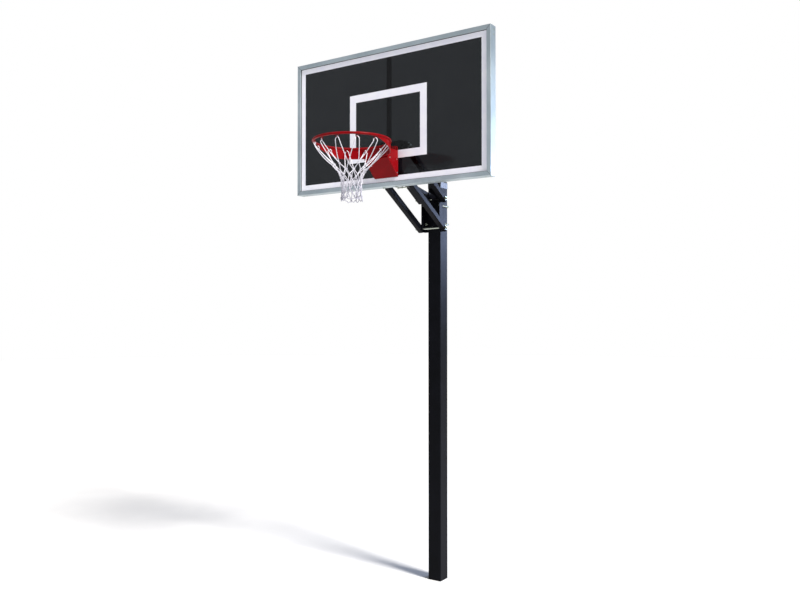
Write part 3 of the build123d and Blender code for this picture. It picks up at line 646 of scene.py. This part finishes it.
def make_net(finishes):
    """Knotted cord net: long loops from the hooks, rows of meshes, and loose loops at the bottom."""
    rng = random.Random(12)
    bm = bmesh.new()
    rows = knot_rows(rng)
    top_loops(bm, rng, rows[0])
    mesh_legs(bm, rng, rows)
    tail_loops(bm, rng, rows[-1])
    for knots in rows:
        for centre in knots:
            knot_wrap(bm, centre, rng)
    net = new_piece("knotted_net", bm, finishes["net_cord"], "rim")
    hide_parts("net")


# ---- welds --------------------------------------------------------------------------------
RIPPLE = 4 * MM                       # length of one ripple of a weld
STITCH_STARTS = (14, 50, 112, 148)    # where the band's stitch welds start round the ring, degrees
STITCH_SPAN = 16                      # degrees
STITCH_STEPS = 48


def bead(bm, path, radius, rng):
    """A weld bead, swollen at each ripple and slightly uneven."""
    length = sum((b - a).length for a, b in zip(path, path[1:]))
    ripples = length / RIPPLE

    def swell(t):
        return radius * (0.86 + 0.14 * abs(sin(pi * ripples * t)) + rng.uniform(-0.03, 0.03))

    tube(bm, path, swell, sides=6)


def stitch_path(start):
    """Points along one stitch weld, in the corner between the ring and its band."""
    outside = RING_RADIUS + 3.6 * MM
    z = RING_LOW.z + 1.0 * MM
    angles = [radians(start + STITCH_SPAN * k / STITCH_STEPS) for k in range(STITCH_STEPS + 1)]
    return [ring_point(angle, outside, z) for angle in angles]


def make_rim_welds(finishes):
    """Stitch welds of the flat band under the ring, and of each hook."""
    rng = random.Random(5)
    stitch = 2.0 * MM                 # radius of a stitch weld
    tack = 3.0 * MM                   # radius of a hook's weld
    step = UP * 2 * MM
    bm = bmesh.new()
    for start in STITCH_STARTS:
        bead(bm, stitch_path(start), stitch, rng)
    for i in range(LOOPS):
        for side in (-HOOK_HALF, HOOK_HALF):
            foot = ring_point(hook_angle(i) + side / HOOK_RADIUS, HOOK_RADIUS, RING_CENTRE.z - 3.0 * MM)
            bead(bm, [foot - step, foot, foot + step, foot + step * 2], tack, rng)
    new_piece("rim_welds", bm, finishes["red_weld"], "rim")


# ---- springs and bracket ears -------------------------------------------------------------
def make_rim_springs(finishes):
    """Two compression springs on the guide bolts, coiled to fill the frame's spring part."""
    low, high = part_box("rim_springs")
    wire = 1.7 * MM                   # radius of the spring wire
    turns = 7
    steps = 20                        # points to each turn
    middle_z = (low.z + high.z) / 2
    coil = (high.z - low.z) / 2 - wire          # radius to the middle of the wire
    bm = bmesh.new()
    for x in (low.x + coil + wire, high.x - coil - wire):
        path = []
        for k in range(turns * steps + 1):
            angle = 2 * pi * k / steps
            y = low.y + wire + (high.y - low.y - 2 * wire) * k / (turns * steps)
            path.append(Vector((x + coil * cos(angle), y, middle_z + coil * sin(angle))))
        tube(bm, path, wire)
    springs = new_piece("coil_springs", bm, finishes["zinc_steel"], "board")
    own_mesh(springs)
    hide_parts("rim_springs")


def rounded_plate(reach, height, round_off):
    """Outline of a plate that reaches out from its inner edge, with both outer corners rounded."""
    corners = [(0, 0)]
    for first, hub_z in ((-pi / 2, round_off), (0, height - round_off)):
        for k in range(5):
            angle = first + pi / 2 * k / 4
            corners.append((reach - round_off + round_off * cos(angle), hub_z + round_off * sin(angle)))
    corners.append((0, height))
    return corners


def make_bracket_ears(finishes):
    """Plates welded to both sides of the board bracket's top, with rounded outer corners."""
    low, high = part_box("board_bracket")
    height = 40 * MM
    thick = 5 * MM
    gap = 0.2 * MM                    # between a plate and the bracket's side
    plate = rounded_plate(38 * MM, height, 8 * MM)
    foot = high.z - height
    bm = bmesh.new()
    for way, edge in ((-1, low.x), (1, high.x)):
        profile = [(edge + way * (x + gap), foot + z) for x, z in plate]
        slab(bm, profile, low.y, low.y + thick)
    new_piece("bracket_ears", bm, finishes["black_steel"], "board", smooth=False)


# ---- stage --------------------------------------------------------------------------------
def make_floor():
    """Matt painted studio floor, pale grey, with faint clouding."""
    add, show = start_finish("pale_studio_floor")
    place = add("TexCoord", out="Object")
    cloud = add("TexNoise", {"Scale": every(670), "Detail": 5.0}, Vector=place)
    colour = add("ValToRGB", {"stops": [(0.3, "#d9d9d9"), (0.7, "#e0e0e0")]}, Fac=cloud)
    gloss = add("MapRange", {"To Min": 0.78, "To Max": 0.86}, Value=cloud)
    paint = show(add("BsdfPrincipled", {"Specular IOR Level": 0.2}, Base_Color=colour, Roughness=gloss))
    bm = bmesh.new()
    bmesh.ops.create_circle(bm, cap_ends=True, radius=30.0, segments=96)
    floor = stand("studio_floor", bm, paint)


def place_light(data, place, aim):
    """Stands a light at a place, shining along aim; the camera sees only what it lights."""
    light = bpy.data.objects.new(data.name, data)
    light.location = place
    light.rotation_euler = aim.to_track_quat("-Z", "Y").to_euler()
    light.visible_camera = False
    bpy.context.scene.collection.objects.link(light)


def soft_panel(name, place, target, size, power, tint):
    """A wide panel of light, its size in metres and its power in watts, turned towards a target."""
    data = bpy.data.lights.new(name, "AREA")
    data.shape = "RECTANGLE"
    data.size, data.size_y = size
    data.energy = power
    data.color = linear(tint)[:3]
    place_light(data, Vector(place), Vector(target) - Vector(place))


def soft_sun(bearing, height, strength, tint):
    """A sun 14 degrees wide, bearing counted from +X and height from the floor, in degrees."""
    data = bpy.data.lights.new("right_sun", "SUN")
    data.energy = strength
    data.angle = radians(14)
    data.color = linear(tint)[:3]
    flat = cos(radians(height))
    toward = Vector((cos(radians(bearing)) * flat, sin(radians(bearing)) * flat, sin(radians(height))))
    place_light(data, toward * 10, -toward)


def make_lights():
    """A sun from the right, two panels behind the right that steel sides mirror, and a front panel."""
    soft_sun(bearing=-10, height=40, strength=6.7, tint="#fffbf6")
    soft_panel("sky_panel", place=(2.96, 4.9, 3.15), target=(0.1, -0.2, 2.6), size=(2.6, 1.1),
               power=230.0, tint="#b2c4ee")
    soft_panel("high_panel", place=(3.4, 4.9, 4.5), target=(0.6, -0.6, 3.1), size=(3.4, 1.6),
               power=28.0, tint="#f4fbfa")
    soft_panel("front_panel", place=(-3.4, -6.4, 4.6), target=(0, -0.65, 3.1), size=(4.0, 3.0),
               power=46.0, tint="#f6f8ff")


def make_room():
    """Dim pale light from all round, white where the camera looks straight at it."""
    world = bpy.data.worlds.new("studio_room")
    world.use_nodes = True
    bpy.context.scene.world = world
    tree = world.node_tree
    tree.nodes.remove(tree.nodes["Background"])
    add = node_adder(tree)
    room = add("Background", {"Color": linear("#dfe6f2"), "Strength": 0.26})
    seen = add("Background", {"Color": linear("#ffffff"), "Strength": 1.0})
    direct = add("LightPath", out="Is Camera Ray")
    mixed = add("MixShader", Fac=direct, _1=room, _2=seen)
    tree.links.new(mixed, tree.nodes["World Output"].inputs["Surface"])
    bpy.context.scene.view_settings.view_transform = "Standard"


# ---- build --------------------------------------------------------------------------------
def main():
    make_camera()
    finishes = make_finishes()
    dress_frame(finishes)
    make_printed_lines(finishes)
    make_bead_and_shadow_line(finishes)
    make_corner_seams(finishes)
    make_net(finishes)
    make_rim_welds(finishes)
    make_rim_springs(finishes)
    make_bracket_ears(finishes)
    make_floor()
    make_lights()
    make_room()


main()
